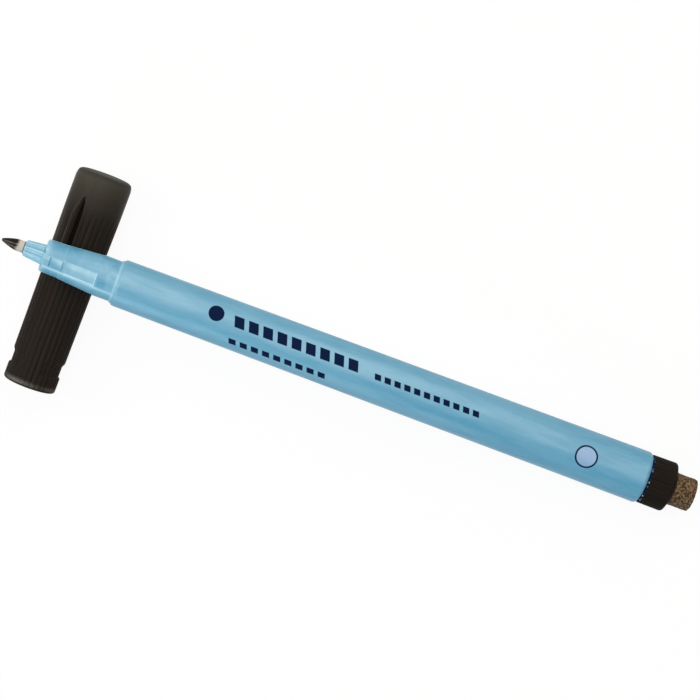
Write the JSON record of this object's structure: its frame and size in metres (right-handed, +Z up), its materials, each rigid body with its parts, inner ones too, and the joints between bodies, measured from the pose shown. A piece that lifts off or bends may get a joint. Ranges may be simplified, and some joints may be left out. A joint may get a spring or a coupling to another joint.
{
  "type": "erasable marker",
  "caption": "Slim erasable marker with a plastic nib, splined end plug and cork eraser, lying across its taken-off fluted cap; the cap slides along its own bore.",
  "frame": {"origin": "centre of the bounding box, on the surface that the marker and its cap lie on", "axes": "+X along the marker towards its cork end as seen from above, +Y along the cap towards its closed end, +Z up"},
  "size_m": [0.1252, 0.0386, 0.0162],
  "materials": {
    "barrel_plastic": "pearly light blue, satin gloss",
    "holder_plastic": "light blue, ribbed, satin",
    "nib_plastic": "cream skin, black with ink on its point",
    "reservoir_fibre": "ink-soaked fibre bundle",
    "wrap_film": "thin clear film",
    "plug_plastic": "warm black, finely splined",
    "cork": "agglomerated cork, brown with dark and light grains",
    "cap_plastic": "warm black, satin, glossier at its plain end",
    "seal_plastic": "dark, satin"
  },
  "bodies": {
    "marker": {"barrel": "barrel_plastic", "nib_holder": "holder_plastic", "nib": "nib_plastic", "ink_reservoir": "reservoir_fibre", "reservoir_wrap": "wrap_film", "end_plug": "plug_plastic", "cork_eraser": "cork"},
    "cap": {"cap_shell": "cap_plastic", "cap_inner_seal": "seal_plastic"}
  },
  "joints": [
    {"name": "cap_slide", "type": "slide", "parent": "marker", "child": "cap", "axis": [0, 1, 0], "range_m": [0, 0.02095]}
  ]
}
